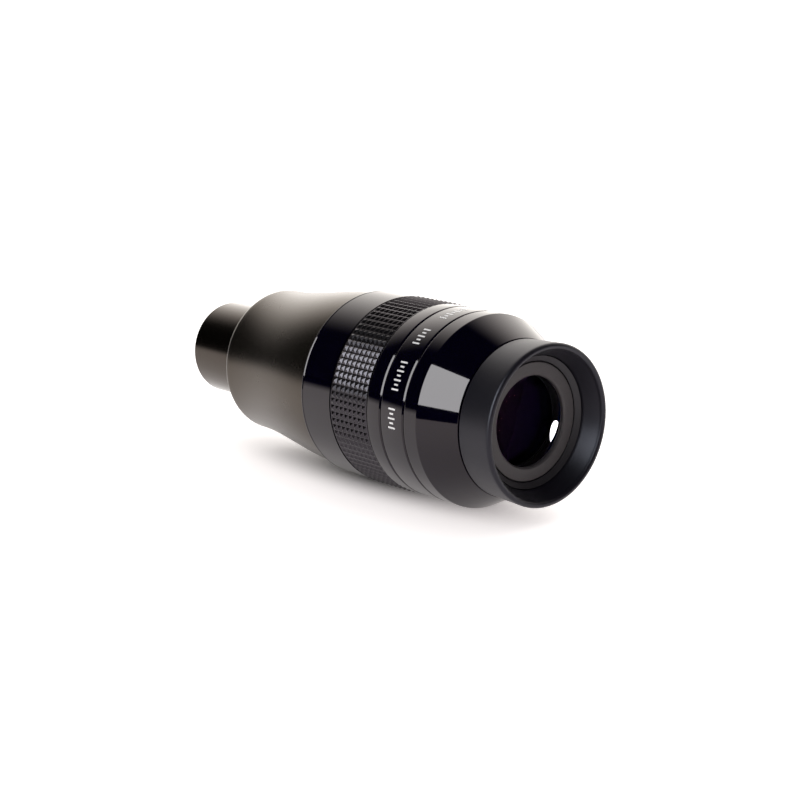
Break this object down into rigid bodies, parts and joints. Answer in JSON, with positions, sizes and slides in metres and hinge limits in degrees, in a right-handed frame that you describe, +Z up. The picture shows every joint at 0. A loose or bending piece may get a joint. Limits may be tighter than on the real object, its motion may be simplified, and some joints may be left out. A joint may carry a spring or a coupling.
{
  "type": "telescope eyepiece",
  "caption": "Long wide-field telescope eyepiece with a push-fit nose, tapered housing, knurled grip, cone front and fold-down rubber eyecup around a coated eye lens.",
  "frame": {"origin": "on the floor, below the middle of the overall length, with the eyepiece lying on its barrel", "axes": "+X along the optical axis from the field-end nose to the eyecup, +Z up"},
  "size_m": [0.1604, 0.0612, 0.0612],
  "materials": {
    "satin_anodise": "satin black anodised",
    "gloss_anodise": "polished black anodised",
    "matt_black": "matt black anodised, fine baffle threads",
    "bezel": "matt charcoal anodised",
    "coated_glass": "polished, magenta and green multicoating",
    "inner_glass": "polished, multicoated",
    "rubber": "matt soft rubber"
  },
  "bodies": {
    "barrel": {"nose_barrel": "satin_anodise", "tapered_housing": "satin_anodise", "grip_ring": "satin_anodise", "shoulder_ring": "gloss_anodise", "collar_ring": "gloss_anodise", "label_ring": "gloss_anodise", "cone_cap": "gloss_anodise", "field_cell": "matt_black", "field_retaining_ring": "matt_black", "nose_lock_ring": "matt_black", "light_baffle": "matt_black", "field_stop": "matt_black", "field_stop_ring": "matt_black", "main_barrel": "matt_black", "eye_cell": "matt_black", "middle_spacer": "matt_black", "front_spacer": "matt_black", "rear_spacer": "matt_black", "cell_retaining_ring": "matt_black", "bezel_ring": "bezel", "eye_lens": "coated_glass", "field_lens_outer": "coated_glass", "field_lens_inner": "inner_glass", "middle_lens": "inner_glass", "front_crown_lens": "inner_glass", "front_flint_lens": "inner_glass", "rear_crown_lens": "inner_glass", "rear_flint_lens": "inner_glass", "collector_lens": "inner_glass", "eyecup_base": "rubber"},
    "eyecup": {"eyecup_skirt": "rubber"}
  },
  "joints": [
    {"name": "eyecup_fold", "type": "slide", "parent": "barrel", "child": "eyecup", "axis": [1, 0, 0], "range_m": [-0.004, 0], "deforming": ["eyecup_skirt"]}
  ]
}
